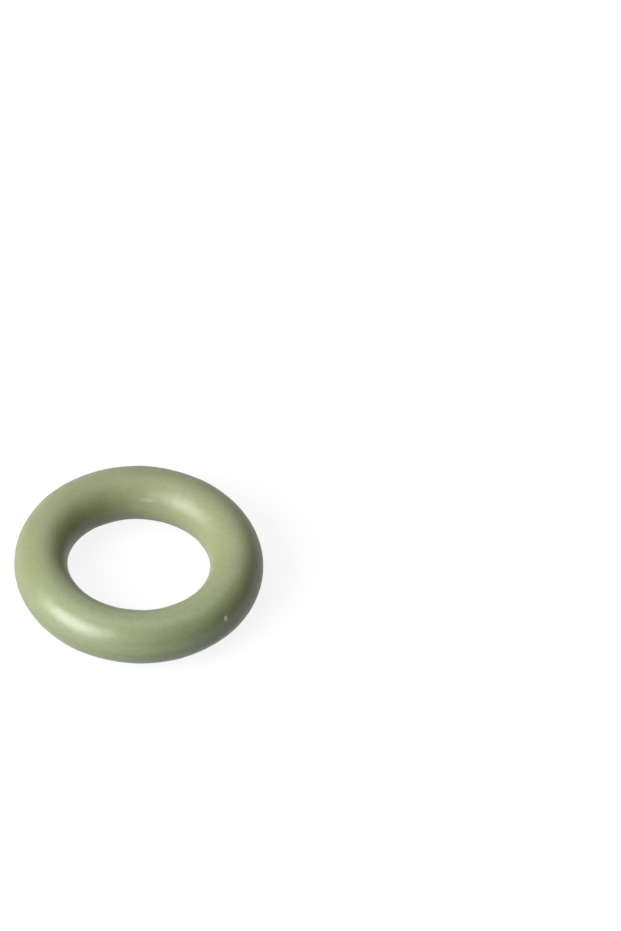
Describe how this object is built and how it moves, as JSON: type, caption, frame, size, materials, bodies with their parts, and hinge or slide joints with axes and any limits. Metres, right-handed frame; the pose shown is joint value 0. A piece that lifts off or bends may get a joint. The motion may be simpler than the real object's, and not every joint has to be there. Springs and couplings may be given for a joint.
{
  "type": "o-ring",
  "caption": "Endless rubber ring of round section that seals the gap between a spigot or valve stem and the bore around it.",
  "frame": {"origin": "centre of the ring, on its axis and halfway up its section", "axes": "+Z along the ring's axis, upwards as the ring lies flat; X and Y are alike, because the ring is round"},
  "size_m": [0.014, 0.014, 0.003],
  "materials": {
    "rubber": "satin moulded sage-green elastomer"
  },
  "bodies": {
    "root": {"o_ring": "rubber"}
  },
  "joints": []
}
